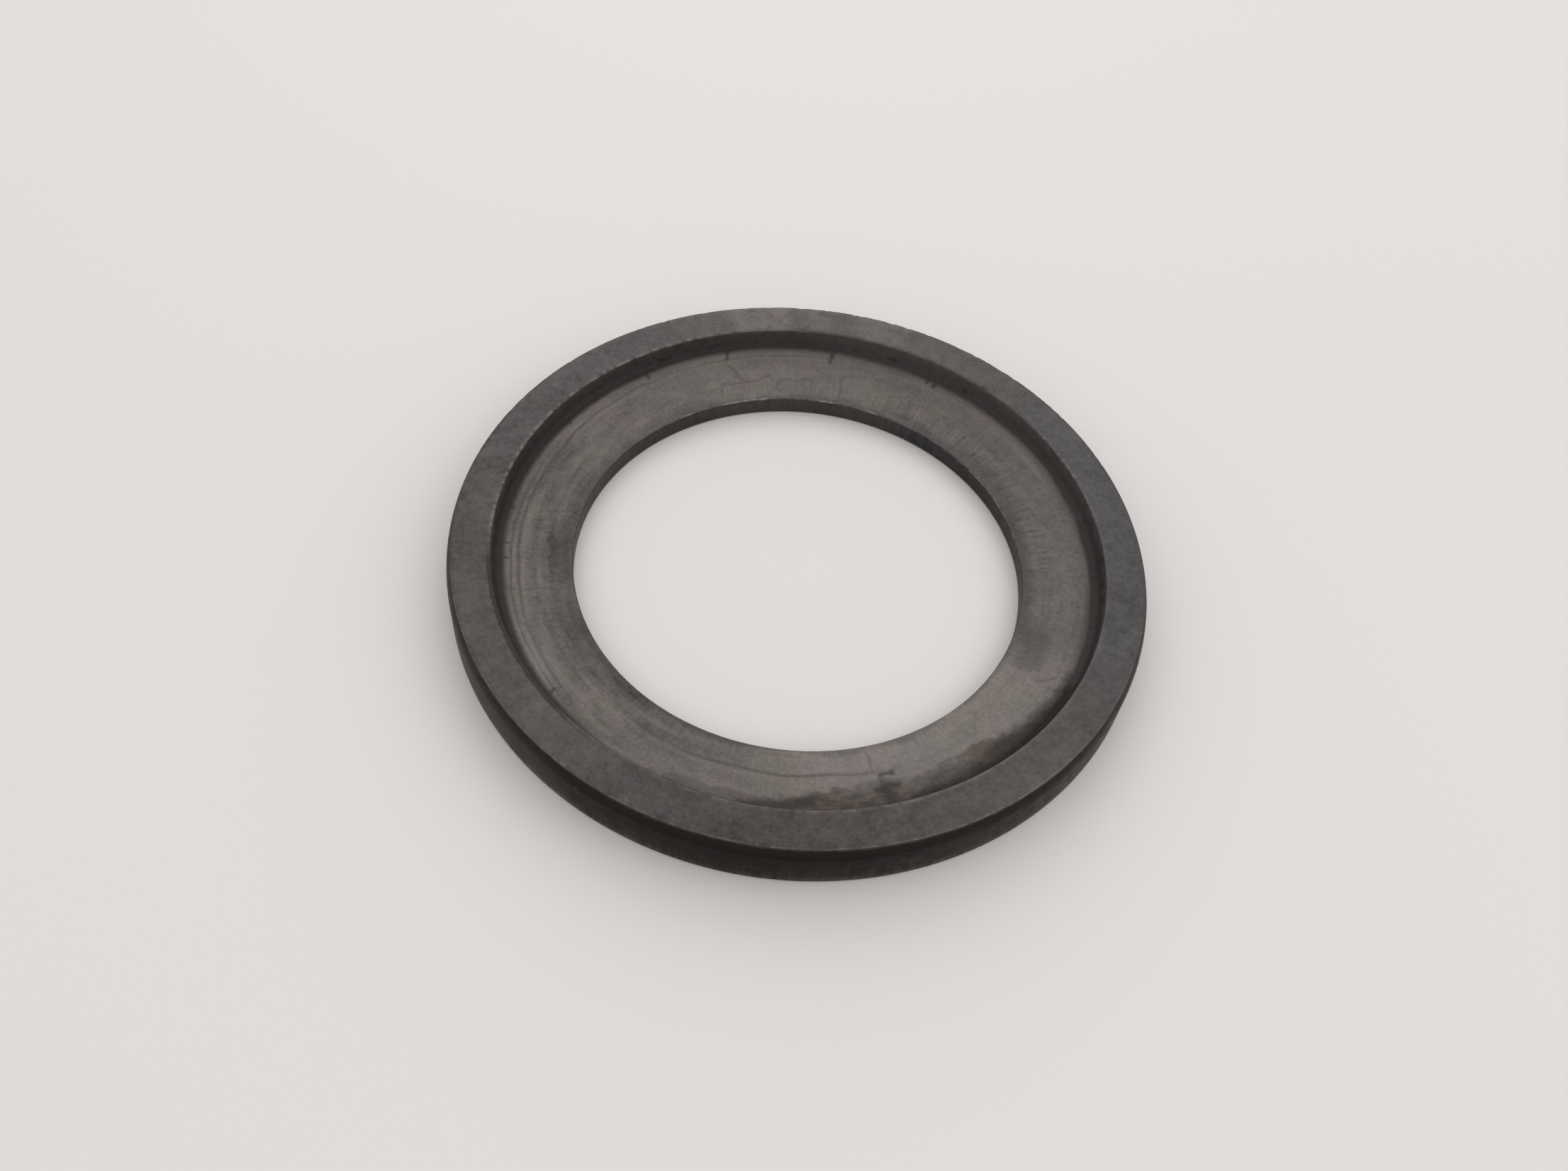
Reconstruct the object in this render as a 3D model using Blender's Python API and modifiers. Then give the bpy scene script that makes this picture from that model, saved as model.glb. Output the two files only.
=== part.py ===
"""Recessed steel washer: one turned ring with a raised outer rim, a shallow conical recess and a plain bore.

Metres, +Z up. The origin is on the turning axis, in the plane of the bottom face: the ring lies on z = 0.
Run it with blender --background --python part.py, or from Blender's text editor.
"""

import math

import bpy

# Driving dimensions
OUTER_DIAMETER = 0.0762
BORE_DIAMETER = 0.0498
RECESS_DIAMETER = 0.0668
THICKNESS = 0.0057
RECESS_DEPTH = 0.0034  # below the rim, at the bore, where the recess is deepest
CONE_ANGLE = math.radians(9)  # how steeply the recess floor rises towards the wall

# The worn outer edge of the rim: a round that leaves the rim's top at an angle and ends flush with the wall
WORN_EDGE_IN = 0.00048
WORN_EDGE_DOWN = 0.0015

# Small edge breaks, and the fillet that the turning tool left in the recess corner
FOOT_BREAK = 0.00035
BORE_FOOT_BREAK = 0.00025
BORE_TOP_BREAK = 0.00015
RIM_INNER_BREAK = 0.00015
CORNER_FILLET = 0.00120

# Facets
STEPS_AROUND = 160
WORN_EDGE_FACETS = 4
FILLET_FACETS = 5
MERGE_DISTANCE = 0.00001
SHARP_ANGLE = math.radians(28)

# Dark, oil-stained steel
STEEL_COLOUR = (0.098, 0.089, 0.084, 1.0)
STEEL_ROUGHNESS = 0.48
STEEL_METALLIC = 0.85

COLLECTION_NAME = "recessed_washer"
RING_NAME = "washer_ring"


def clear_objects():
    """Empties the file of objects, so that the script can be run again."""
    for old in list(bpy.data.objects):
        bpy.data.objects.remove(old, do_unlink=True)


def new_collection(name):
    found = bpy.data.collections.new(name)
    bpy.context.scene.collection.children.link(found)
    return found


def arc(centre, radius, start, end, facets):
    """Points (r, z) along an arc from angle start to angle end, both ends included."""
    angles = [start + (end - start) * i / facets for i in range(facets + 1)]
    return [(centre[0] + radius * math.cos(a), centre[1] + radius * math.sin(a)) for a in angles]


def worn_outer_edge(outer, top):
    """The arc from the rim's top to the outer wall. It is tangent to the wall and meets the top at an edge."""
    radius = (WORN_EDGE_IN**2 + WORN_EDGE_DOWN**2) / (2 * WORN_EDGE_IN)
    centre = (outer - radius, top - WORN_EDGE_DOWN)
    start = math.asin(WORN_EDGE_DOWN / radius)
    return arc(centre, radius, start, 0.0, WORN_EDGE_FACETS)


def cone_height(radius):
    """The height of the conical recess floor at a radius."""
    return THICKNESS - RECESS_DEPTH + (radius - BORE_DIAMETER / 2) * math.tan(CONE_ANGLE)


def recess_corner(wall):
    """The fillet between the conical floor and the recess wall, tangent to both, from the floor upwards."""
    inner = wall - CORNER_FILLET
    centre = (inner, cone_height(inner) + CORNER_FILLET / math.cos(CONE_ANGLE))
    return arc(centre, CORNER_FILLET, CONE_ANGLE - math.pi / 2, 0.0, FILLET_FACETS)


def ring_profile():
    """The ring's closed section as (r, z): down the outer side, in, up the bore and out to the rim."""
    outer = OUTER_DIAMETER / 2
    bore = BORE_DIAMETER / 2
    wall = RECESS_DIAMETER / 2
    top = THICKNESS
    foot = [(outer, FOOT_BREAK), (outer - FOOT_BREAK, 0.0)]
    bore_foot = [(bore + BORE_FOOT_BREAK, 0.0), (bore, BORE_FOOT_BREAK)]
    floor_in = bore + BORE_TOP_BREAK
    bore_top = [(bore, cone_height(bore) - BORE_TOP_BREAK), (floor_in, cone_height(floor_in))]
    rim_inner = [(wall, top - RIM_INNER_BREAK), (wall + RIM_INNER_BREAK, top)]
    return worn_outer_edge(outer, top) + foot + bore_foot + bore_top + recess_corner(wall) + rim_inner


def closed_loop_mesh(name, profile):
    """A mesh of edges only: the section in the XZ plane, at +X of the turning axis."""
    mesh = bpy.data.meshes.new(name)
    count = len(profile)
    mesh.from_pydata([(r, 0.0, z) for r, z in profile], [(i, (i + 1) % count) for i in range(count)], [])
    return mesh


def turn(piece, steps):
    """Turns a section once round the Z axis."""
    screw = piece.modifiers.new("turn", "SCREW")
    screw.axis = "Z"
    screw.angle = math.tau
    screw.steps = steps
    screw.render_steps = steps
    screw.use_merge_vertices = True
    screw.merge_threshold = MERGE_DISTANCE
    screw.use_smooth_shade = False


def shade_round(piece, sharp_angle):
    """Makes the turned shape a mesh, smooth round the ring and sharp at its edges."""
    evaluated = piece.evaluated_get(bpy.context.evaluated_depsgraph_get())
    mesh = bpy.data.meshes.new_from_object(evaluated)
    piece.modifiers.clear()
    piece.data = mesh
    mesh.shade_smooth()
    mesh.set_sharp_from_angle(angle=sharp_angle)


def dark_steel():
    material = bpy.data.materials.new("dark_steel")
    material.use_nodes = True
    shader = material.node_tree.nodes["Principled BSDF"]
    shader.inputs["Base Color"].default_value = STEEL_COLOUR
    shader.inputs["Roughness"].default_value = STEEL_ROUGHNESS
    shader.inputs["Metallic"].default_value = STEEL_METALLIC
    material.diffuse_color = STEEL_COLOUR
    return material


def washer_ring(collection):
    """The whole washer. It is turned from one blank, so the rim and the recess floor are one solid."""
    ring = bpy.data.objects.new(RING_NAME, closed_loop_mesh(RING_NAME, ring_profile()))
    collection.objects.link(ring)
    turn(ring, STEPS_AROUND)
    shade_round(ring, SHARP_ANGLE)
    ring.data.materials.append(dark_steel())
    return ring


def main():
    clear_objects()
    washer_ring(new_collection(COLLECTION_NAME))


main()
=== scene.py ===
"""Looks of the recessed steel washer: a finely meshed, used ring on a plain pale floor.

Metres, +Z up, in the CAD frame. The ring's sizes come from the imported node. Radii and widths of marks are in
millimetres, and angles are in degrees, anticlockwise from +X seen from above.
"""

import math
from types import SimpleNamespace

import bpy
import numpy as np
from mathutils import Matrix, Vector, noise


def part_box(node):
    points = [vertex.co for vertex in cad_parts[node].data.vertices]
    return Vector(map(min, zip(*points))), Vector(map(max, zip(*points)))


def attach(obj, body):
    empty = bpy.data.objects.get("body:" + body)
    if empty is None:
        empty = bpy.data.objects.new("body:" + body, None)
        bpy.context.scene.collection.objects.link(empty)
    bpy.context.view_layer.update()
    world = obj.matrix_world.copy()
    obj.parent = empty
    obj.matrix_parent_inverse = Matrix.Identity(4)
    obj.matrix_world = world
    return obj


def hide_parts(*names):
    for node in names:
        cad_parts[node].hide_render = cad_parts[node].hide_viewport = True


CAD_NODE = "washer_ring"
MM = 0.001

# Edges of the fine section, which the plain CAD section has as flat breaks
WORN_EDGE_IN = 0.48 * MM
WORN_EDGE_DOWN = 1.5 * MM
FOOT_ROUND = 0.35 * MM
BORE_FOOT_ROUND = 0.25 * MM
BORE_TOP_ROUND = 0.13 * MM
RIM_INNER_ROUND = 0.13 * MM
CORNER_FILLET = 1.2 * MM

# Mesh density: steps round the ring, and along each stretch of its section
STEPS_AROUND = 1080
STEPS = {
    "land": 10,
    "outer_edge": 7,
    "outer_wall": 8,
    "foot_edge": 3,
    "foot": 4,
    "bore_foot_edge": 2,
    "bore": 5,
    "bore_edge": 3,
    "floor": 34,
    "corner": 6,
    "recess_wall": 5,
    "rim_edge": 3,
}

# Dark notches that hang from the recess corner: width, then (angle, radius) points
NOTCHES = [
    (0.20, [(64.2, 32.6), (64.4, 31.7)]),
    (0.16, [(66.0, 32.6), (66.1, 31.9)]),
    (0.30, [(88.0, 32.9), (88.1, 31.9), (88.4, 30.9)]),
    (0.22, [(111.4, 32.7), (111.8, 31.9), (112.2, 31.3)]),
    (0.20, [(130.5, 32.7), (130.8, 31.6)]),
    (0.14, [(152.3, 32.6), (152.5, 31.9)]),
    (0.13, [(178.4, 32.6), (178.3, 31.9)]),
    (0.14, [(187.3, 32.6), (187.2, 31.8)]),
    (0.16, [(191.0, 32.6), (190.9, 31.8)]),
    (0.22, [(224.1, 32.7), (223.9, 32.0), (223.7, 31.8)]),
]

# Dark streaks and patches in the rusty deposit, written the same way. Those along the corner, from 265 to 336
# degrees, are partly painted shade
DARK_PATCHES = [
    (0.60, [(291.4, 32.4), (291.6, 31.0), (291.4, 30.4)]),
    (0.35, [(289.8, 30.6), (291.4, 30.2), (293.6, 30.5)]),
    (0.22, [(291.3, 28.9), (292.4, 28.8), (293.6, 28.6)]),
    (0.55, [(265, 32.4), (270, 32.0), (274, 31.6), (277, 31.0)]),
    (0.50, [(296, 32.4), (306, 32.4), (313, 32.0)]),
    (0.85, [(314, 31.6), (318, 31.6), (323, 32.0), (330, 32.3), (336, 32.5)]),
    (0.45, [(314.6, 31.2), (317, 30.9), (319, 31.2)]),
]

# Where a mark was rubbed off the recess floor
RUBBED = [(1.0, [(336.5, 27.6), (345.0, 27.2)])]

# Fine cracks in the stained film on the recess floor
CRACKS = [
    (0.14, [(113, 31.0), (112, 30.2), (110.6, 29.3), (110.8, 28.6), (109.4, 28.0)]),
    (0.14, [(92, 28.0), (96, 27.7), (99.6, 27.8), (100.9, 27.3), (101.2, 26.5), (100.6, 25.9)]),
    (0.12, [(103, 28.3), (107, 27.8), (112, 27.6), (115.2, 27.9), (116, 26.8)]),
    (0.15, [(80, 29.4), (83.4, 29.3), (85.2, 28.7), (84.4, 27.6), (84.6, 26.0)]),
    (0.16, [(67, 28.6), (66.6, 27.4), (66.9, 26.4), (68.2, 25.7)]),
    (0.12, [(199, 31.9), (198.7, 30.0), (198.9, 27.0)]),
    (0.12, [(213, 30.6), (212.8, 29.0), (213.4, 27.8)]),
    (0.12, [(226.6, 29.8), (225.4, 28.8)]),
    (0.12, [(290.2, 27.9), (290.4, 26.6), (290, 25.6)]),
    (0.15, [(335.6, 30.7), (334.2, 30.3), (333.2, 29.4)]),
    (0.12, [(355, 31.2), (349, 30.7), (342, 30.7), (336, 30.9)]),
]

# Tide lines that old oil left round the recess floor
TIDES = {
    "tide_long": [
        (96, 31.4), (113, 31.35), (125, 31.15), (140, 31.0), (165, 30.75), (200, 30.7), (222, 30.85),
    ],
    "tide_outer": [(166, 31.4), (180, 31.45), (195, 31.5), (210, 31.55), (226, 31.7)],
    "tide_near": [(240, 28.1), (252, 28.3), (263, 28.0), (272, 28.2), (281, 28.0), (289, 28.3)],
}

# The inner edge of the rusty deposit in the recess corner. Where it runs out to the corner there is none
DEPOSIT_EDGE = [
    (0, 33.5), (246, 33.5), (248, 32.0), (249.5, 32.2), (252, 31.2), (264, 31.2), (268, 31.5), (272, 31.3),
    (275, 30.7), (278, 30.1), (286, 29.8), (290, 29.6), (291, 28.9), (292.5, 29.4), (296, 30.0), (304, 29.7),
    (313, 29.7), (315, 30.2), (319, 30.9), (324, 31.3), (330, 32.0), (334, 32.5), (337, 33.5), (360, 33.5),
]

# How far the marks stray from their drawn lines
WANDER_DEGREES = 0.45
WANDER_MM = 0.35
TIDE_SWAY_MM = 0.16

# Values for points that a mark doesn't reach
FAR_FROM_STROKES = 4.0
OFF_THE_FLOOR = -3.0

# Nicks in the edges: the stretch, its row of points from its start, and the depth in mm
NICKS = [
    ("outer_edge", 0, 0.085),
    ("outer_edge", 1, 0.05),
    ("outer_edge", 2, 0.02),
    ("rim_edge", 1, 0.05),
    ("rim_edge", 2, 0.05),
    ("land", 0, 0.02),
]

# Burrs on the bore's upper edge: middle, half width and softness in degrees, then height, and the strength of
# the painted glint on them
BURRS = [
    (24, 11, 8, 0.2, 0.4),
    (76, 2, 1.5, 1.0, 1.0),
    (87.5, 1.5, 1.5, 1.0, 1.0),
    (110, 6, 2, 1.0, 1.0),
    (128, 1.2, 1.2, 0.8, 0.7),
]
BURR_HEIGHTS = [(0, 0.01), (1, 0.035), (2, 0.03)]  # row of the bore's edge, height in mm
WALL_PITTING = 0.018  # depth in mm
DEPOSIT_BUILD_UP = 0.05  # height in mm
NOTCH_DEPTH = 0.02  # in mm


# ---------------------------------------------------------------- sizes


def ring_sizes():
    """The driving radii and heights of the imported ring, and the cone of its recess floor."""
    low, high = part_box(CAD_NODE)
    points = np.array([v.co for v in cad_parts[CAD_NODE].data.vertices])
    rings = np.stack([np.hypot(points[:, 0], points[:, 1]), points[:, 2]], axis=1)
    rings = np.unique(np.round(rings, 6), axis=0)
    bore = rings[:, 0].min()
    # Without the underside and the bore, the first two rings are the two ends of the cone
    upper = rings[(rings[:, 1] > high.z / 4) & (rings[:, 0] > bore + 0.01 * MM)]
    (inner_r, inner_z), (outer_r, outer_z) = upper[0], upper[1]
    slope = (outer_z - inner_z) / (outer_r - inner_r)
    # Below the rim's top and inside the rim, the widest ring is on the recess wall
    below = upper[(upper[:, 1] < high.z - 0.1 * MM) & (upper[:, 0] < high.x - 2 * MM)]
    return {
        "outer": high.x,
        "bore": float(bore),
        "wall": float(below[:, 0].max()),
        "top": high.z,
        "foot": low.z,
        "slope": float(slope),
        "cone_at_bore": float(inner_z - (inner_r - bore) * slope),
    }


# ---------------------------------------------------------------- the section


def straight(start, end, steps):
    """Points from start towards end, without end itself."""
    return [tuple(np.array(start) + (np.array(end) - start) * i / steps) for i in range(steps)]


def curved(centre, radius, start, end, steps):
    """Points along an arc, without its last one. The angles are in degrees."""
    angles = [math.radians(start + (end - start) * i / steps) for i in range(steps)]
    return [(centre[0] + radius * math.cos(a), centre[1] + radius * math.sin(a)) for a in angles]


def outer_side(size):
    """From the rim's top down the worn outer edge and the outer wall, and round to the foot."""
    outer, foot = size["outer"], size["foot"]
    bend = (WORN_EDGE_IN**2 + WORN_EDGE_DOWN**2) / (2 * WORN_EDGE_IN)
    start = math.degrees(math.asin(WORN_EDGE_DOWN / bend))
    wall_top = (outer, size["top"] - WORN_EDGE_DOWN)
    wall_foot = (outer, foot + FOOT_ROUND)
    return [
        ("outer_edge", curved((outer - bend, wall_top[1]), bend, start, 0, STEPS["outer_edge"])),
        ("outer_wall", straight(wall_top, wall_foot, STEPS["outer_wall"])),
        ("foot_edge", curved((outer - FOOT_ROUND, wall_foot[1]), FOOT_ROUND, 0, -90, STEPS["foot_edge"])),
    ]


def underside_and_bore(size):
    """In along the foot and up the bore to the recess floor's inner edge."""
    bore, foot, tilt = size["bore"], size["foot"], math.atan(size["slope"])
    foot_in = (bore + BORE_FOOT_ROUND, foot)
    bore_foot = (bore, foot + BORE_FOOT_ROUND)
    edge_r = bore + BORE_TOP_ROUND
    edge_z = cone_height(size, edge_r) - BORE_TOP_ROUND / math.cos(tilt)
    edge_end = 90 + math.degrees(tilt)
    foot_centre = (foot_in[0], bore_foot[1])
    return [
        ("foot", straight((size["outer"] - FOOT_ROUND, foot), foot_in, STEPS["foot"])),
        ("bore_foot_edge", curved(foot_centre, BORE_FOOT_ROUND, 270, 180, STEPS["bore_foot_edge"])),
        ("bore", straight(bore_foot, (bore, edge_z), STEPS["bore"])),
        ("bore_edge", curved((edge_r, edge_z), BORE_TOP_ROUND, 180, edge_end, STEPS["bore_edge"])),
    ]


def cone_height(size, radius):
    """The height of the conical recess floor at a radius."""
    return size["cone_at_bore"] + (radius - size["bore"]) * size["slope"]


def recess_and_land(size):
    """Out along the conical floor, up the recess wall and out over the rim's top."""
    wall, top, tilt = size["wall"], size["top"], math.atan(size["slope"])
    edge_r = size["bore"] + BORE_TOP_ROUND
    floor_in = (edge_r - BORE_TOP_ROUND * math.sin(tilt), 0)
    floor_in = (floor_in[0], cone_height(size, floor_in[0]))
    centre_r = wall - CORNER_FILLET
    centre_z = cone_height(size, centre_r) + CORNER_FILLET / math.cos(tilt)
    floor_out = (centre_r + CORNER_FILLET * math.sin(tilt), centre_z - CORNER_FILLET * math.cos(tilt))
    rim_foot = (wall, top - RIM_INNER_ROUND)
    land_in = (wall + RIM_INNER_ROUND, top)
    land_out = (size["outer"] - WORN_EDGE_IN, top)
    corner_start = math.degrees(tilt) - 90
    return [
        ("floor", straight(floor_in, floor_out, STEPS["floor"])),
        ("corner", curved((centre_r, centre_z), CORNER_FILLET, corner_start, 0, STEPS["corner"])),
        ("recess_wall", straight((wall, centre_z), rim_foot, STEPS["recess_wall"])),
        ("rim_edge", curved((land_in[0], rim_foot[1]), RIM_INNER_ROUND, 180, 90, STEPS["rim_edge"])),
        ("land", straight(land_in, land_out, STEPS["land"])),
    ]


# ---------------------------------------------------------------- marks and relief


def speckle(grid, around, across, seed):
    """Smooth noise over the ring, about -1 to 1. around and across are its features per radian and per mm."""
    ring, length = grid["ring"], grid["length"]
    cos, sin = np.cos(ring) * around, np.sin(ring) * around
    along = length * across + seed
    return np.array([[noise.noise((c, s, a)) for a in along] for c, s in zip(cos, sin)])


def window(angle, middle, half, soft):
    """1 within half of the middle angle, falling to 0 over soft. In degrees."""
    off = np.abs((angle - middle + 180) % 360 - 180)
    return np.clip((half + soft - off) / soft, 0, 1)


def from_strokes(grid, strokes):
    """How far each point of the ring is from the nearest stroke, in widths of that stroke, up to a limit."""
    radius, angle = grid["radius"] / MM, grid["angle"]
    nearest = np.full(radius.shape, FAR_FROM_STROKES)
    for width, points in strokes:
        for (a0, r0), (a1, r1) in zip(points, points[1:]):
            across = np.radians((angle - a0 + 180) % 360 - 180) * radius
            along = radius - r0
            end = np.array([math.radians(a1 - a0) * (r0 + r1) / 2, r1 - r0])
            part = np.clip((across * end[0] + along * end[1]) / (end @ end), 0, 1)
            gap = np.hypot(across - part * end[0], along - part * end[1]) / width
            nearest = np.minimum(nearest, gap)
    return nearest


def from_line(grid, points):
    """How far outside a line round the ring each point is, in mm. Past the line's ends that grows fast."""
    angles, radii = zip(*points)
    past = np.maximum(0, np.maximum(angles[0] - grid["angle"], grid["angle"] - angles[-1]))
    return (grid["radius"] / MM - np.interp(grid["angle"], angles, radii)) * (1 + past)


def ring_grid(size, stretches):
    """The places of the ring's points, as arrays of (step round the ring, point of the section)."""
    profile = np.array([p for _, points in stretches for p in points])
    kinds = np.array([kind for kind, points in stretches for _ in points])
    ring = np.arange(STEPS_AROUND) * math.tau / STEPS_AROUND
    ahead, behind = np.roll(profile, -1, axis=0), np.roll(profile, 1, axis=0)
    tangent = ahead - behind
    tangent /= np.hypot(tangent[:, 0], tangent[:, 1])[:, None]
    length = np.cumsum(np.hypot(*(profile - behind).T)) / MM
    shape = (STEPS_AROUND, len(profile))
    return {
        "ring": ring,
        "length": length,
        "kinds": kinds,
        "radius": np.broadcast_to(profile[:, 0], shape),
        "height": np.broadcast_to(profile[:, 1], shape),
        "angle": np.broadcast_to(np.degrees(ring)[:, None], shape),
        "out": np.stack([-tangent[:, 1], tangent[:, 0]], axis=1),
    }


def ring_marks(grid):
    """The marks that the materials read, as one number for each point."""
    wander = speckle(grid, 34, 0.9, 41.3)
    angle, radius = grid["angle"], grid["radius"] / MM
    aside = np.roll(wander, 90, axis=0)
    loose = dict(grid, angle=angle + WANDER_DEGREES * aside, radius=(radius + WANDER_MM * wander) * MM)
    swaying = dict(grid, radius=(radius + TIDE_SWAY_MM * speckle(grid, 13, 0.2, 8.8)) * MM)
    edge = np.interp(angle, *zip(*DEPOSIT_EDGE))
    on_floor = (grid["kinds"] == "floor") | (grid["kinds"] == "corner")
    return {
        "notches": from_strokes(grid, NOTCHES),
        "cracks": from_strokes(loose, CRACKS),
        "patches": from_strokes(loose, DARK_PATCHES),
        "rubbed": from_strokes(grid, RUBBED),
        "deposit": np.where(on_floor, radius - edge, OFF_THE_FLOOR),
        **{name: from_line(swaying, line) for name, line in TIDES.items()},
    }


def ring_relief(grid, marks):
    """How far each point stands out of the turned surface, in metres."""
    kinds, angle, ring_radius = grid["kinds"], grid["angle"], grid["radius"] / MM
    coarse, fine = speckle(grid, 26, 0.5, 3.1), speckle(grid, 70, 1.1, 17.7)
    relief = np.zeros(angle.shape)
    for kind, row, depth in NICKS:
        place = np.flatnonzero(kinds == kind)[row]
        relief[:, place] -= depth * np.clip(coarse[:, place] * 1.2 + fine[:, place] - 0.12, 0, 1)
    burr = sum(high * window(angle, middle, half, soft) for middle, half, soft, high, _ in BURRS)
    for row, height in BURR_HEIGHTS:
        place = np.flatnonzero(kinds == "bore_edge")[row]
        raised = burr[:, place] * (0.7 + fine[:, place])
        relief[:, place] += height * (raised - 0.6 * np.clip(coarse[:, place], 0, 1))
    wall = kinds == "outer_wall"
    relief[:, wall] -= WALL_PITTING * np.clip(coarse[:, wall] + 0.5 * fine[:, wall], 0, 1)
    # The deposit swells from its edge over 0.8 mm, and thins out before the recess wall
    build_up = np.clip(marks["deposit"] / 0.8, 0, 1) * np.clip((33.4 - ring_radius) / 0.4, 0, 1)
    relief += DEPOSIT_BUILD_UP * build_up * (0.6 + 0.8 * fine + 0.5 * coarse)
    relief -= NOTCH_DEPTH * np.clip(1.3 - marks["notches"], 0, 1) * (kinds == "floor")
    return relief * MM


def ring_piece(name, size, materials):
    """A closed mesh ring with worn edges. Each stretch of its section takes the material of its name."""
    stretches = outer_side(size) + underside_and_bore(size) + recess_and_land(size)
    grid = ring_grid(size, stretches)
    marks = ring_marks(grid)
    relief = ring_relief(grid, marks)
    radius = grid["radius"] + relief * grid["out"][:, 0]
    x, y = np.cos(grid["ring"])[:, None] * radius, np.sin(grid["ring"])[:, None] * radius
    z = grid["height"] + relief * grid["out"][:, 1]
    mesh = bpy.data.meshes.new(name)
    mesh.from_pydata(np.stack([x, y, z], axis=2).reshape(-1, 3).tolist(), [], ring_faces(*x.shape))
    slots = list(dict.fromkeys(materials.values()))
    for material in slots:
        mesh.materials.append(material)
    stretch_slot = [slots.index(materials[kind]) for kind in grid["kinds"]]
    mesh.polygons.foreach_set("material_index", np.tile(stretch_slot, STEPS_AROUND))
    for mark, values in marks.items():
        layer = mesh.attributes.new(mark, "FLOAT", "POINT")
        layer.data.foreach_set("value", values.reshape(-1).astype(np.float32))
    mesh.shade_smooth()
    mesh.update()
    piece = bpy.data.objects.new(name, mesh)
    bpy.context.scene.collection.objects.link(piece)
    return piece


def ring_faces(around, count):
    """The corners of the four-sided faces of a closed ring of closed sections."""
    ring, along = np.meshgrid(np.arange(around), np.arange(count), indexing="ij")
    next_ring, next_along = (ring + 1) % around, (along + 1) % count
    corners = [ring * count + along, ring * count + next_along]
    corners += [next_ring * count + next_along, next_ring * count + along]
    return np.stack(corners, axis=2).reshape(-1, 4).tolist()


# ---------------------------------------------------------------- materials


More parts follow.
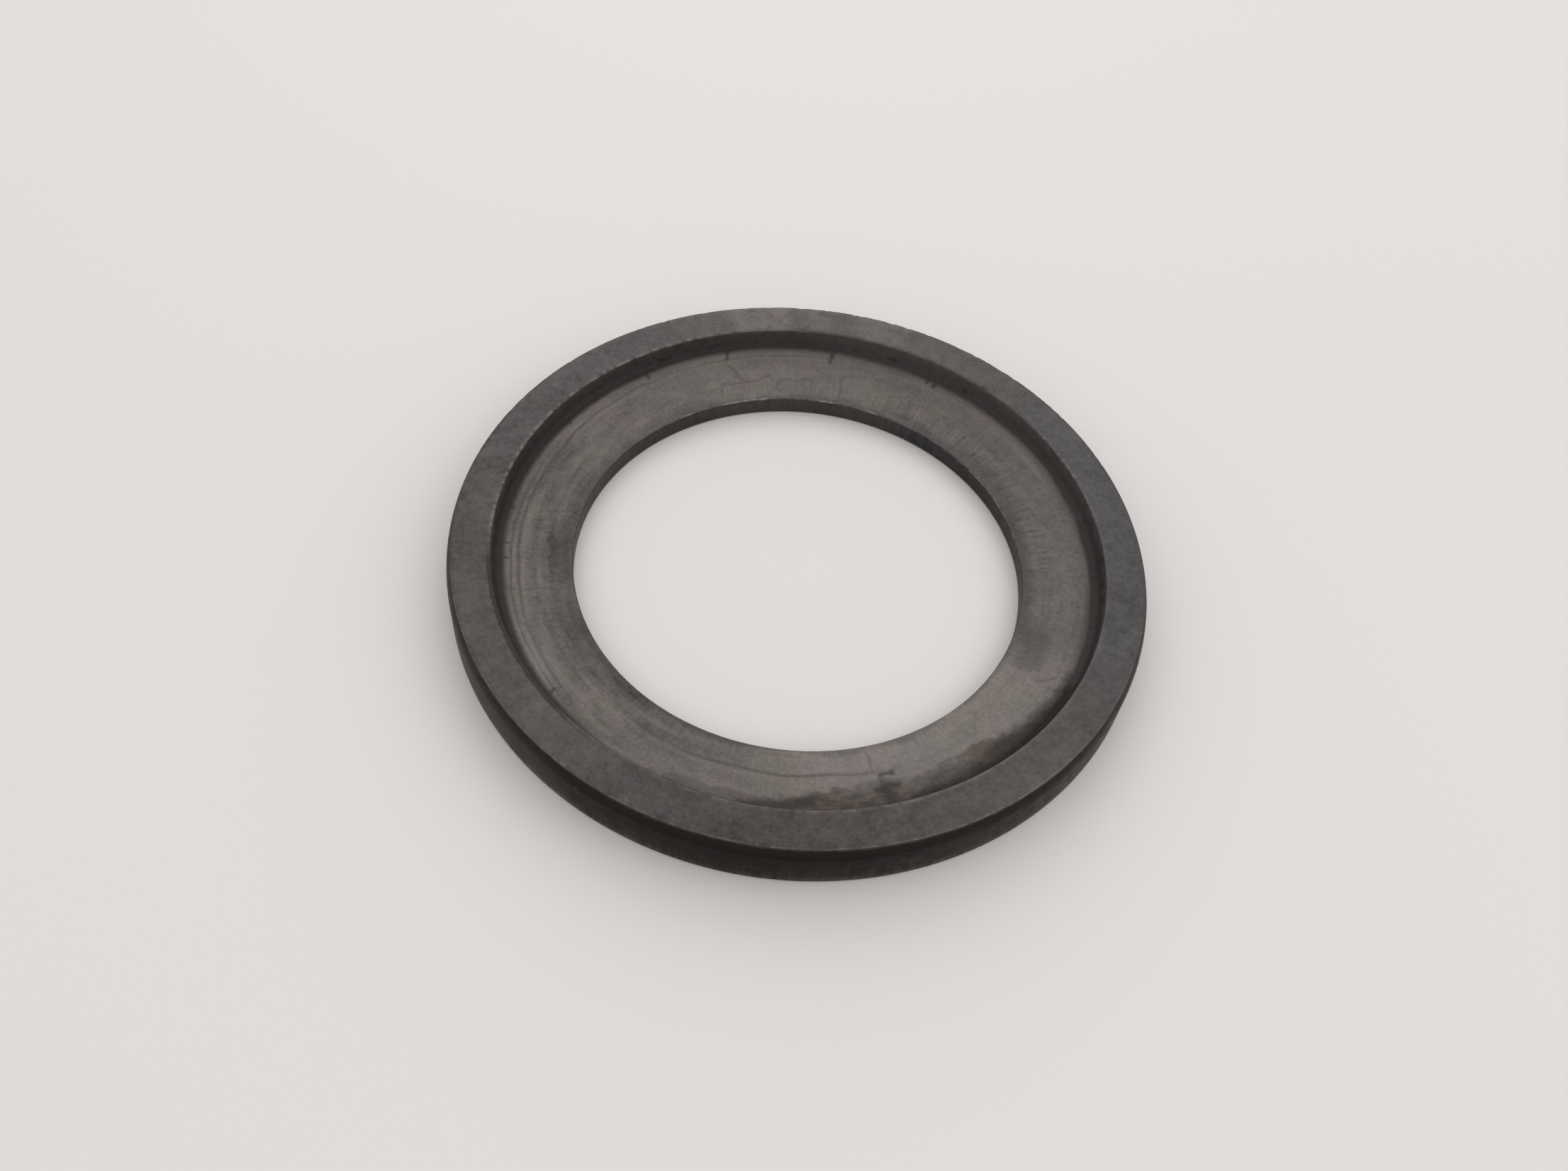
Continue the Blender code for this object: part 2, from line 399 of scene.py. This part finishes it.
class Graph:
    """One material's node graph, with the ring's own coordinates in millimetres."""

    def __init__(self, name):
        self.material = bpy.data.materials.new(name)
        self.material.use_nodes = True
        self.tree = self.material.node_tree
        self.shader = self.tree.nodes["Principled BSDF"]
        scale = self.tree.nodes.new("ShaderNodeVectorMath")
        scale.operation = "SCALE"
        self.feed(scale.inputs[0], self.tree.nodes.new("ShaderNodeTexCoord").outputs["Object"])
        scale.inputs["Scale"].default_value = 1000
        self.place = scale.outputs[0]
        split = self.tree.nodes.new("ShaderNodeSeparateXYZ")
        self.feed(split.inputs[0], self.place)
        x, y, self.height = split.outputs
        self.radius = self.maths("SQRT", self.maths("MULTIPLY_ADD", x, x, self.maths("MULTIPLY", y, y)))
        self.cos = self.maths("DIVIDE", x, self.radius)
        self.sin = self.maths("DIVIDE", y, self.radius)

    def feed(self, socket, value):
        if isinstance(value, bpy.types.NodeSocket):
            self.tree.links.new(value, socket)
        else:
            socket.default_value = value

    def maths(self, operation, *values, clamp=False):
        node = self.tree.nodes.new("ShaderNodeMath")
        node.operation = operation
        node.use_clamp = clamp
        for socket, value in zip(node.inputs, values):
            self.feed(socket, value)
        return node.outputs[0]

    def add(self, *values):
        total = values[0]
        for value in values[1:]:
            total = self.maths("ADD", total, value)
        return total

    def times(self, *values):
        total = values[0]
        for value in values[1:]:
            total = self.maths("MULTIPLY", total, value)
        return total

    def less(self, value):
        """1 - value."""
        return self.maths("SUBTRACT", 1.0, value)

    def spread(self, value, amount):
        """A noise of 0 to 1 as a swing of about plus or minus amount."""
        return self.maths("MULTIPLY_ADD", value, 4 * amount, -2 * amount)

    def step(self, value, low, high):
        """0 at low and 1 at high, smooth between. low may be the larger one."""
        node = self.tree.nodes.new("ShaderNodeMapRange")
        node.interpolation_type = "SMOOTHSTEP"
        self.feed(node.inputs["Value"], value)
        self.feed(node.inputs["From Min"], low)
        self.feed(node.inputs["From Max"], high)
        return node.outputs["Result"]

    def noise(self, vector, scale, detail=2.0, roughness=0.5):
        node = self.tree.nodes.new("ShaderNodeTexNoise")
        self.feed(node.inputs["Vector"], vector)
        node.inputs["Scale"].default_value = scale
        node.inputs["Detail"].default_value = detail
        node.inputs["Roughness"].default_value = roughness
        return node.outputs[0]

    def grain(self):
        """The finest noise, the same on each material that has it."""
        return self.noise(self.place, 2.6, 2)

    def streaks(self, around, across, shift=0.0, detail=2.0):
        """Noise drawn out round the ring (small around) or across it (small across)."""
        node = self.tree.nodes.new("ShaderNodeCombineXYZ")
        self.feed(node.inputs[0], self.times(self.cos, around))
        self.feed(node.inputs[1], self.times(self.sin, around))
        length = self.add(self.radius, self.height)
        self.feed(node.inputs[2], self.maths("MULTIPLY_ADD", length, across, shift))
        return self.noise(node.outputs[0], 1.0, detail)

    def sector(self, middle, half, soft):
        """1 within half of the middle angle, falling to 0 over soft. In degrees."""
        middle_cos, middle_sin = math.cos(math.radians(middle)), math.sin(math.radians(middle))
        facing = self.maths("MULTIPLY_ADD", self.cos, middle_cos, self.times(self.sin, middle_sin))
        return self.step(facing, math.cos(math.radians(half + soft)), math.cos(math.radians(half)))

    def sectors(self, spans):
        """The sum of several sectors, each (middle, half, soft, strength), held to 0 to 1."""
        total = self.times(self.sector(*spans[0][:3]), spans[0][3])
        for middle, half, soft, strength in spans[1:]:
            total = self.maths("MULTIPLY_ADD", self.sector(middle, half, soft), strength, total, clamp=True)
        return total

    def tones(self, spans):
        """The sum of several sectors, each (middle, half, soft, change), which may be below 0."""
        total = 0.0
        for middle, half, soft, change in spans:
            total = self.maths("MULTIPLY_ADD", self.sector(middle, half, soft), change, total)
        return total

    def line(self, name, wash, edge, core):
        """1 within core mm of a line round the ring, falling to 0 at edge mm. wash makes it uneven."""
        off = self.maths("ABSOLUTE", self.add(self.mark(name), wash))
        return self.step(off, edge, core)

    def band(self, inner, outer, soft):
        """1 between two radii, falling to 0 over soft on each side."""
        inside = self.step(self.radius, inner - soft, inner)
        return self.times(inside, self.step(self.radius, outer + soft, outer))

    def mark(self, name):
        node = self.tree.nodes.new("ShaderNodeAttribute")
        node.attribute_name = name
        return node.outputs["Fac"]

    def mix(self, factor, first, second, blend="MIX"):
        node = self.tree.nodes.new("ShaderNodeMix")
        node.data_type = "RGBA"
        node.blend_type = blend
        self.feed(node.inputs[0], factor)
        for socket, value in ((node.inputs[6], first), (node.inputs[7], second)):
            self.feed(socket, (*value, 1.0) if isinstance(value, tuple) else value)
        return node.outputs[2]

    def toned(self, colour, tone):
        """The colour times a plain tone."""
        return self.mix(1.0, colour, tone, "MULTIPLY")

    def bump(self, height, depth_mm):
        node = self.tree.nodes.new("ShaderNodeBump")
        node.inputs["Strength"].default_value = 1.0
        node.inputs["Distance"].default_value = depth_mm * MM
        self.feed(node.inputs["Height"], height)
        self.feed(self.shader.inputs["Normal"], node.outputs[0])

    def finish(self, colour, roughness, metallic):
        self.feed(self.shader.inputs["Base Color"], colour)
        self.feed(self.shader.inputs["Roughness"], roughness)
        self.feed(self.shader.inputs["Metallic"], metallic)
        return self.material


RACE_GREY = (0.127, 0.117, 0.109)
RACE_WARM = (0.147, 0.130, 0.117)
RACE_PINK = (0.142, 0.120, 0.120)
UNWORN = (0.098, 0.089, 0.088)
# The corner's painted shade and the lit recess wall above it: one steel, painted dark and light
CORNER_SHADE_DARK = (0.045, 0.039, 0.038)
LIT_RECESS_WALL = (0.132, 0.118, 0.113)
# The dark of the notches and dark patches, also used as painted shade on the rim's inner edge
DARK_MARK_AND_SHADE = (0.034, 0.031, 0.026)
DEPOSIT_BROWN = (0.048, 0.040, 0.0345)
DEPOSIT_RUST = (0.098, 0.070, 0.054)
TIDE_GREY = (0.066, 0.058, 0.056)
RACE_ROUGHNESS = 0.46
RACE_METALLIC = 0.90

# Where the recess is lighter or darker: the whole floor, its two sides, and the wall with its corner. On the
# whole floor, the corner's side and the wall this is painted light, for where light falls and reflects; the
# bore's side is only made lighter or darker. Each entry is the sector's middle, half width and softness in
# degrees, then the change of tone
FLOOR_LIGHT_TONES = [
    (99, 16, 16, 0.22), (142, 10, 12, 0.16), (188, 48, 16, -0.07), (210, 5, 10, 0.14), (308, 24, 14, 0.20),
]
BORE_SIDE_TONES = [(5, 14, 12, -0.12), (210, 22, 12, -0.18), (253, 7, 8, -0.16), (292, 12, 8, 0.10)]
CORNER_SIDE_LIGHT_TONES = [(50, 16, 12, 0.30), (105, 16, 16, 0.25), (152, 14, 14, 0.16)]
WALL_LIGHT_TONES = [(50, 26, 20, 0.25), (145, 25, 20, -0.12)]


def race_noises(g):
    """The noises that the parts of the recess's colour share."""
    return SimpleNamespace(
        cloud=g.noise(g.place, 0.13, 3),
        tint=g.noise(g.place, 0.21, 2),
        mottle=g.noise(g.place, 0.7, 4, 0.6),
        grain=g.grain(),
        radial=g.streaks(95, 0.5),
        rings=g.streaks(2.5, 2.6, 9),
        smear=g.streaks(4.5, 0.8, 23, 3),
        chatter=g.streaks(92, 0.10, 31, 1),
        drag=g.streaks(16, 1.7, 47, 3),
    )


def race_unworn(g, n):
    """The band beside the bore that the rollers never polished, which is wider on two sides."""
    reach = g.add(g.radius, g.spread(n.cloud, 0.8), g.spread(n.radial, 0.12), g.spread(n.mottle, 0.2))
    wide = g.sectors([(182, 50, 20, 1.0), (22, 36, 16, 1.0)])
    return g.maths("MAXIMUM", g.times(wide, g.step(reach, 27.3, 25.7)), g.step(reach, 26.0, 25.2))


def race_ground(g, n, unworn, beaten):
    """The worn floor without its marks: its tints, where it is streaked, and where it is lighter or darker,
    partly as painted light in sectors.
    """
    colour = g.mix(g.step(n.cloud, 0.38, 0.62), RACE_GREY, RACE_WARM)
    colour = g.mix(g.times(g.step(n.tint, 0.5, 0.68), 0.6), colour, RACE_PINK)
    colour = g.mix(g.times(unworn, 0.75), colour, UNWORN)
    tone = g.add(1.0, g.spread(n.mottle, 0.19), g.spread(n.radial, 0.06), g.spread(n.rings, 0.06))
    # Painted light: the floor lighter or darker by sector
    tone = g.add(tone, g.spread(n.grain, 0.16), g.tones(FLOOR_LIGHT_TONES))
    tone = g.add(tone, g.times(g.step(g.radius, 28.6, 27.2), g.tones(BORE_SIDE_TONES)))
    # Painted light: the floor beside the corner lighter on some sides
    tone = g.add(tone, g.times(g.step(g.radius, 30.4, 31.5), g.tones(CORNER_SIDE_LIGHT_TONES)))
    smeared = g.maths("MULTIPLY_ADD", g.sector(188, 48, 16), 0.7, 0.3)
    tone = g.add(tone, g.times(smeared, g.spread(n.smear, 0.26)))
    tone = g.add(tone, g.times(beaten, g.spread(n.chatter, 0.20)))
    # The duller patches left of the roller chatter
    dull = g.times(g.band(27.4, 29.2, 0.7), g.sectors([(200, 36, 12, 1.0), (250, 20, 12, 0.4)]))
    tone = g.add(tone, g.times(dull, g.add(g.spread(n.cloud, 0.15), -0.10)))
    return g.toned(colour, tone)


def race_lines(g, n, colour):
    """The rubbed smudge, the tide lines and the fine cracks in the stained film."""
    smudge = g.step(g.add(g.mark("rubbed"), g.spread(n.cloud, 0.5), g.spread(n.radial, 0.35)), 1.9, 0.4)
    colour = g.mix(g.times(smudge, 0.45), colour, TIDE_GREY)
    wash = g.spread(n.mottle, 0.06)
    long_line = g.line("tide_long", wash, 0.27, 0.04)
    long_line = g.times(long_line, g.less(g.times(g.sector(100, 22, 14), 0.45)))
    outer_line = g.line("tide_outer", wash, 0.18, 0.03)
    near_line = g.line("tide_near", wash, 0.32, 0.04)
    tide = g.maths("MAXIMUM", g.maths("MAXIMUM", long_line, outer_line), near_line)
    fade = g.maths("MULTIPLY_ADD", g.step(n.cloud, 0.30, 0.60), 0.5, 0.5)
    colour = g.mix(g.times(tide, fade, 0.55), colour, TIDE_GREY)
    crack = g.step(g.add(g.mark("cracks"), g.spread(n.mottle, 0.35)), 2.3, 0.2)
    return g.mix(g.times(crack, g.step(n.tint, 0.30, 0.50), 0.6), colour, UNWORN)


def race_deposit(g, n, colour, crust):
    """The rusty deposit, its dark patches, and the notches that hang from the corner."""
    rust = g.mix(g.step(g.add(n.tint, g.spread(n.drag, 0.15)), 0.40, 0.58), DEPOSIT_BROWN, DEPOSIT_RUST)
    uneven = g.add(1.0, g.spread(n.mottle, 0.30), g.spread(n.drag, 0.30), g.spread(n.grain, 0.25))
    strong = g.sectors([(319, 6, 6, 0.30), (278, 4, 6, 0.25)])
    thick = g.times(g.step(g.mark("deposit"), -0.2, 2.4), 0.50)
    cover = g.add(0.26, thick, strong, g.spread(n.mottle, 0.22))
    cover = g.times(crust, cover, g.sectors([(302, 32, 8, 1.0), (258, 10, 4, 0.45)]))
    colour = g.mix(cover, colour, g.toned(rust, uneven))
    # Dark patches of deposit; along the near corner they are partly painted shade
    patch = g.step(g.add(g.mark("patches"), g.spread(n.mottle, 0.5), g.spread(n.grain, 0.2)), 2.1, 0.3)
    colour = g.mix(g.times(patch, 0.72), colour, DARK_MARK_AND_SHADE)
    # The notches narrow as they leave the corner
    narrowing = g.times(g.maths("SUBTRACT", 32.3, g.radius), 0.3)
    notch = g.step(g.add(g.mark("notches"), g.spread(n.mottle, 0.35), narrowing), 1.9, 0.3)
    return g.mix(g.times(notch, 0.65), colour, DARK_MARK_AND_SHADE)


def race_corner(g, n):
    """How much painted shade the corner, the recess wall and the haze before them put on each place, and their
    colour:
    one steel, painted dark low in the corner and lighter up the wall.
    """
    edge = g.add(g.radius, g.spread(n.radial, 0.05), g.spread(n.cloud, 0.12), g.spread(n.mottle, 0.08))
    wide = g.sectors([(180, 46, 14, 0.4), (347, 20, 14, 0.8), (10, 12, 10, 0.5)])
    # Painted shade: the corner darkens, and the dark band reaches further out on some sides
    corner = g.step(g.add(edge, g.times(wide, 0.35)), 31.98, 32.76)
    # Painted shade: a haze of darkening on the floor before the corner, on the right
    shade_haze = g.times(g.step(g.radius, 31.0, 32.5), g.sectors([(12, 18, 14, 0.35), (340, 14, 10, 0.45)]))
    # Painted light: the recess wall is lighter higher up than down in the corner
    lit_upper_wall = g.times(g.step(g.height, 3.9, 5.0), g.step(g.radius, 32.4, 33.0))
    # Painted light: the wall's tones by sector make it lighter at 50 degrees and darker at 145 degrees
    tone = g.add(1.0, g.spread(n.radial, 0.12), g.spread(n.mottle, 0.15), g.tones(WALL_LIGHT_TONES))
    return g.maths("MAXIMUM", corner, shade_haze), g.toned(g.mix(lit_upper_wall, CORNER_SHADE_DARK, LIT_RECESS_WALL), tone)


def race_steel():
    """The conical floor, its corner darkened with painted shade, and the recess wall."""
    g = Graph("race_steel")
    n = race_noises(g)
    unworn = race_unworn(g, n)
    # Where the rollers' chatter shows
    beaten = g.times(g.band(26.3, 27.9, 0.6), g.sectors([(48, 43, 6, 1.0), (105, 12, 8, 0.4)]))
    crust = g.step(g.add(g.mark("deposit"), g.spread(n.mottle, 0.8), g.spread(n.grain, 0.25)), -0.40, 0.45)
    dark, shade = race_corner(g, n)
    colour = race_lines(g, n, race_ground(g, n, unworn, beaten))
    # The corner's painted shade goes over the floor's colour
    colour = g.mix(dark, race_deposit(g, n, colour, crust), shade)
    rough = g.add(RACE_ROUGHNESS, g.spread(n.mottle, 0.07), g.times(crust, 0.25), g.times(dark, 0.12))
    rough = g.add(rough, g.times(unworn, 0.06))
    metal = g.maths("MULTIPLY_ADD", g.times(crust, g.less(dark)), -0.35, RACE_METALLIC)
    relief = g.add(g.times(n.radial, 0.25), g.times(n.mottle, 0.5), g.times(n.chatter, beaten, 1.5))
    g.bump(g.add(relief, g.times(crust, 2.0)), 0.008)
    return g.finish(colour, rough, metal)


LAND_GREY = (0.087, 0.081, 0.077)
LAND_BLUE = (0.084, 0.079, 0.082)
LAND_WARM = (0.100, 0.088, 0.080)
LAND_PINK = (0.094, 0.080, 0.080)
BURNISH_AND_HIGHLIGHT = (0.22, 0.205, 0.19)
LAND_ROUGHNESS = 0.47
LAND_METALLIC = 0.85
# Painted reflection: sectors where the rim's top is made lighter or darker for the surroundings it reflects
LAND_REFLECTION_TONES = [
    (88, 12, 10, 0.12), (160, 30, 14, -0.12), (215, 18, 14, 0.10), (264, 4, 8, -0.06), (283, 8, 8, -0.16),
    (345, 50, 14, 0.12),
]


def land_steel():
    """The rim's flat top and the thin edge inside it."""
    g = Graph("land_steel")
    cloud = g.noise(g.place, 0.16, 3)
    tint = g.noise(g.place, 0.11, 2)
    mottle = g.noise(g.place, 0.8, 4, 0.65)
    radial = g.streaks(60, 0.5)
    rings = g.streaks(3, 3.0, 5)
    colour = g.mix(g.step(tint, 0.45, 0.62), LAND_GREY, LAND_WARM)
    colour = g.mix(g.times(g.step(g.noise(g.place, 0.3, 2), 0.5, 0.65), 0.8), colour, LAND_PINK)
    colour = g.mix(g.sectors([(20, 16, 14, 0.8), (350, 10, 10, 0.6), (148, 16, 16, 0.5)]), colour, LAND_BLUE)
    tone = g.add(1.0, g.spread(cloud, 0.12), g.spread(mottle, 0.30), g.spread(radial, 0.05))
    tone = g.add(tone, g.spread(rings, 0.04), g.spread(g.grain(), 0.15), g.tones(LAND_REFLECTION_TONES))
    # Painted highlight: lighter patches on the rim's top, narrow ones on the far side and a broad one on the
    # left
    light = g.sectors([(79, 4, 3, 0.5), (91.5, 1.5, 1.5, 0.5), (103.5, 4, 3, 0.9), (160, 20, 15, 0.25)])
    tone = g.add(tone, g.times(light, 0.42, g.step(mottle, 0.3, 0.6)))
    stain = g.times(g.sector(262, 2.5, 3), g.step(g.radius, 34.5, 36.5))
    colour = g.toned(colour, g.add(tone, g.times(stain, -0.12)))
    # The two edges are lightened in places, partly burnished wear and partly painted highlight, and the inner
    # one has a border of painted shade on one side, where the shaded recess edge reaches further out
    wobble = g.add(g.radius, g.spread(radial, 0.10))
    inner = g.sectors([(27, 9, 6, 0.8), (150, 34, 10, 1.0), (262, 40, 30, 0.4)])
    inner = g.times(g.step(wobble, 33.95, 33.55), inner)
    outer = g.sectors([(258, 42, 30, 0.8), (150, 30, 20, 0.3)])
    outer = g.times(g.step(wobble, 37.35, 37.62), outer)
    # Partly burnished wear and partly painted highlight: the edges are lightened in sectors, broken by streaks
    edge_burnish_and_highlight = g.times(g.maths("MAXIMUM", inner, outer), g.step(g.streaks(45, 0.2, 12), 0.38, 0.65), 0.55)
    ticks = g.times(g.step(g.streaks(38, 0.9, 70), 0.74, 0.80), 0.35)
    colour = g.mix(g.maths("MAXIMUM", edge_burnish_and_highlight, ticks), colour, BURNISH_AND_HIGHLIGHT)
    # Painted shade: a dark border on the inner edge at the near left, towards the same dark as the notches
    painted_shade_border = g.times(g.step(wobble, 34.0, 33.75), g.sectors([(213, 15, 10, 1.0), (248, 6, 10, 0.35)]))
    colour = g.mix(g.times(painted_shade_border, 0.9), colour, DARK_MARK_AND_SHADE)
    g.bump(g.add(mottle, g.times(radial, 0.3), g.times(rings, 0.2)), 0.010)
    rough = g.add(LAND_ROUGHNESS, g.spread(mottle, 0.07), g.times(edge_burnish_and_highlight, -0.12))
    return g.finish(colour, rough, LAND_METALLIC)


WALL_BLACK = (0.0124, 0.0080, 0.0060)
WALL_GREY = (0.0500, 0.0400, 0.0305)
WALL_BROWN = (0.0245, 0.0170, 0.0130)
TOP_BAND_DARK = (0.0255, 0.0212, 0.0188)
WALL_ROUGHNESS = 0.5
WALL_METALLIC = 0.80
WALL_SPECULAR = 0.15


def outer_steel():
    """The near-black outer wall with its worn top edge."""
    g = Graph("outer_steel")
    cloud = g.noise(g.place, 0.2, 3)
    mottle = g.noise(g.place, 0.9, 4, 0.65)
    axial = g.streaks(75, 0.10, 3)
    colour = g.mix(g.step(cloud, 0.4, 0.62), WALL_BLACK, WALL_BROWN)
    grey = g.sectors([(199, 7, 9, 0.55), (222, 10, 10, 1.0), (342, 8, 12, 0.5), (90, 60, 30, 0.5)])
    grey = g.times(grey, g.step(g.add(mottle, g.spread(cloud, 0.08)), 0.32, 0.68))
    colour = g.mix(grey, colour, WALL_GREY)
    low = g.times(g.step(g.add(g.height, g.spread(mottle, 1.2)), 3.2, 0.2), g.step(axial, 0.32, 0.70))
    colour = g.mix(g.times(low, 0.4), colour, WALL_GREY)
    uneven = g.add(1.0, g.spread(axial, 0.22), g.spread(mottle, 0.25), g.spread(g.grain(), 0.15))
    colour = g.toned(colour, uneven)
    # Painted light: lighter at the foot, where light bounces up from the bench, and darkest high up; then the
    # top band and the worn edge are mixed towards a plain dark
    level = g.add(g.height, g.spread(cloud, 0.5))
    tone = g.add(1.5, g.times(g.step(level, 0.8, 2.9), -0.84), g.times(g.step(level, 2.7, 3.8), -0.30))
    tone = g.add(tone, g.times(g.step(g.height, 1.35, 0.6), 1.3))
    colour = g.mix(g.times(g.step(g.height, 4.3, 5.3), 0.78), g.toned(colour, tone), TOP_BAND_DARK)
    rubbed = g.times(g.step(g.add(g.height, g.spread(mottle, 0.12)), 5.45, 5.68), 0.5)
    colour = g.mix(rubbed, colour, LAND_GREY)
    g.bump(g.add(mottle, axial), 0.02)
    g.shader.inputs["Specular IOR Level"].default_value = WALL_SPECULAR
    metal = g.maths("MULTIPLY_ADD", rubbed, 0.1, WALL_METALLIC)
    return g.finish(colour, g.add(WALL_ROUGHNESS, g.spread(mottle, 0.10)), metal)


BORE_BROWN = (0.054, 0.045, 0.042)
BORE_BLUE = (0.052, 0.050, 0.053)
EDGE_BRIGHT = (0.27, 0.255, 0.24)
BORE_TONES = [(25, 34, 10, -0.18), (94, 20, 12, 0.22)]


def bore_steel():
    """The bore wall and its edges, the upper one lightened with painted glints."""
    g = Graph("bore_steel")
    mottle = g.noise(g.place, 0.9, 4, 0.65)
    axial = g.streaks(60, 0.15, 8)
    colour = g.mix(g.sectors([(58, 8, 6, 0.8), (120, 10, 8, 0.4)]), BORE_BROWN, BORE_BLUE)
    tone = g.add(1.0, g.spread(axial, 0.2), g.spread(mottle, 0.25), g.tones(BORE_TONES))
    colour = g.toned(colour, tone)
    # Painted highlight: the upper edge lightened where the burrs glint, and faintly along the far side
    top = g.step(g.add(g.height, g.spread(mottle, 0.05)), 2.16, 2.26)
    burr = g.sectors([(middle, half, soft, shine) for middle, half, soft, _, shine in BURRS])
    edge = g.add(0.12, g.times(burr, 0.7), g.times(g.sector(82, 52, 14), 0.18))
    broken = g.maths("MULTIPLY_ADD", g.step(g.noise(g.place, 1.6, 3), 0.40, 0.58), 0.7, 0.3)
    colour = g.mix(g.times(top, edge, broken), colour, EDGE_BRIGHT)
    g.bump(g.add(mottle, g.times(axial, 0.5)), 0.012)
    rough = g.add(WALL_ROUGHNESS, g.spread(mottle, 0.08), g.times(top, -0.12))
    metal = g.maths("MULTIPLY_ADD", top, 0.1, WALL_METALLIC)
    return g.finish(colour, rough, metal)


FOOT_ROUGHNESS = 0.46


def foot_steel():
    """The plain underside, which isn't seen in use."""
    g = Graph("foot_steel")
    cloud = g.noise(g.place, 0.16, 3)
    mottle = g.noise(g.place, 0.8, 4, 0.65)
    rings = g.streaks(2.5, 2.4, 4)
    colour = g.mix(g.step(cloud, 0.4, 0.62), LAND_GREY, LAND_WARM)
    colour = g.toned(colour, g.add(1.0, g.spread(mottle, 0.15), g.spread(rings, 0.12)))
    g.bump(g.add(mottle, g.times(rings, 0.6)), 0.012)
    return g.finish(colour, g.add(FOOT_ROUGHNESS, g.spread(mottle, 0.07)), LAND_METALLIC)


def ring_materials():
    """The material of each stretch of the section."""
    land, outer, race, bore = land_steel(), outer_steel(), race_steel(), bore_steel()
    return {
        "outer_edge": outer,
        "outer_wall": outer,
        "foot_edge": outer,
        "foot": foot_steel(),
        "bore_foot_edge": bore,
        "bore": bore,
        "bore_edge": bore,
        "floor": race,
        "corner": race,
        "recess_wall": race,
        "rim_edge": land,
        "land": land,
    }


# ---------------------------------------------------------------- the set


SENSOR_WIDTH = 36.0
CAMERA_LENS = 31.74
CAMERA_DOWN = 51.775
CAMERA_ROLL = 7.20
CAMERA_AWAY = 3.9566  # from the middle of the rim's top, along the view, in outer radii
CAMERA_LEFT = 0.0523  # how far left of the ring's centre the view's axis passes, in outer radii
CAMERA_UNDER = 0.1369  # how far below the ring's centre it passes, in outer radii
CAMERA_NEAR = 0.01  # the nearest distance it draws, in metres


def camera(size):
    """The camera, at the photograph's viewing angle."""
    down, roll = math.radians(CAMERA_DOWN), math.radians(CAMERA_ROLL)
    forward = Vector((0, math.cos(down), -math.sin(down)))
    level = Vector((1, 0, 0))
    upright = level.cross(forward)
    right = level * math.cos(roll) + upright * math.sin(roll)
    up = upright * math.cos(roll) - level * math.sin(roll)
    away = right * CAMERA_LEFT + up * CAMERA_UNDER + forward * CAMERA_AWAY
    data = bpy.data.cameras.new("camera")
    data.sensor_width = SENSOR_WIDTH
    data.lens = CAMERA_LENS
    data.clip_start = CAMERA_NEAR
    piece = bpy.data.objects.new("camera", data)
    turn = Matrix((right, up, -forward)).transposed().to_4x4()
    piece.matrix_world = Matrix.Translation(Vector((0, 0, size["top"])) - away * size["outer"]) @ turn
    bpy.context.scene.collection.objects.link(piece)
    bpy.context.scene.camera = piece


BENCH_SIZE = 6  # in metres
BENCH_GAP = 0.02 * MM
BENCH_WHITE = (0.82, 0.785, 0.757, 1)
BENCH_ROUGHNESS = 0.6


def floor(size):
    """The plain pale bench, just under the ring."""
    bpy.ops.mesh.primitive_plane_add(size=BENCH_SIZE, location=(0, 0, size["foot"] - BENCH_GAP))
    piece = bpy.context.object
    piece.name = "bench"
    material = bpy.data.materials.new("bench_white")
    material.use_nodes = True
    shader = material.node_tree.nodes["Principled BSDF"]
    shader.inputs["Base Color"].default_value = BENCH_WHITE
    shader.inputs["Roughness"].default_value = BENCH_ROUGHNESS
    piece.data.materials.append(material)
    return piece


WORLD_GREY = 0.80
LIGHT_AWAY = 1.0
LIGHTS = [  # name, watts, width, angle round the ring, angle up
    ("far_window", 1.6, 0.7, 97, 28),
    ("right_window", 0.95, 0.7, 0, 40),
]


def area_light(name, watts, width, around, up):
    """A square light that looks at the origin, at an angle round it and an angle up."""
    a, e = math.radians(around), math.radians(up)
    place = Vector((math.cos(a) * math.cos(e), math.sin(a) * math.cos(e), math.sin(e))) * LIGHT_AWAY
    data = bpy.data.lights.new(name, "AREA")
    data.energy = watts
    data.shape = "SQUARE"
    data.size = width
    piece = bpy.data.objects.new(name, data)
    piece.location = place
    piece.rotation_euler = (-place).to_track_quat("-Z", "Y").to_euler()
    bpy.context.scene.collection.objects.link(piece)


def lights():
    """An even grey surround and two soft lights."""
    world = bpy.data.worlds.new("studio")
    world.use_nodes = True
    background = world.node_tree.nodes["Background"]
    background.inputs["Color"].default_value = (WORLD_GREY, WORLD_GREY, WORLD_GREY, 1)
    bpy.context.scene.world = world
    for light in LIGHTS:
        area_light(*light)


def main():
    size = ring_sizes()
    ring = ring_piece("washer", size, ring_materials())
    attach(ring, "root")
    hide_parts(CAD_NODE)
    floor(size)
    camera(size)
    lights()
    bpy.context.scene.view_settings.view_transform = "Standard"


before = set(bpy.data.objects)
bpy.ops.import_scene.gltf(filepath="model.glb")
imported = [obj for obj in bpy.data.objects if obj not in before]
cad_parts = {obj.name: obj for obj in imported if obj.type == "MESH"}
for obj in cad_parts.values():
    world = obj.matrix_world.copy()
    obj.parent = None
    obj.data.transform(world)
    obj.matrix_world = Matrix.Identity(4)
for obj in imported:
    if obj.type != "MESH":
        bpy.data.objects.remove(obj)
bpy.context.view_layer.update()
main()
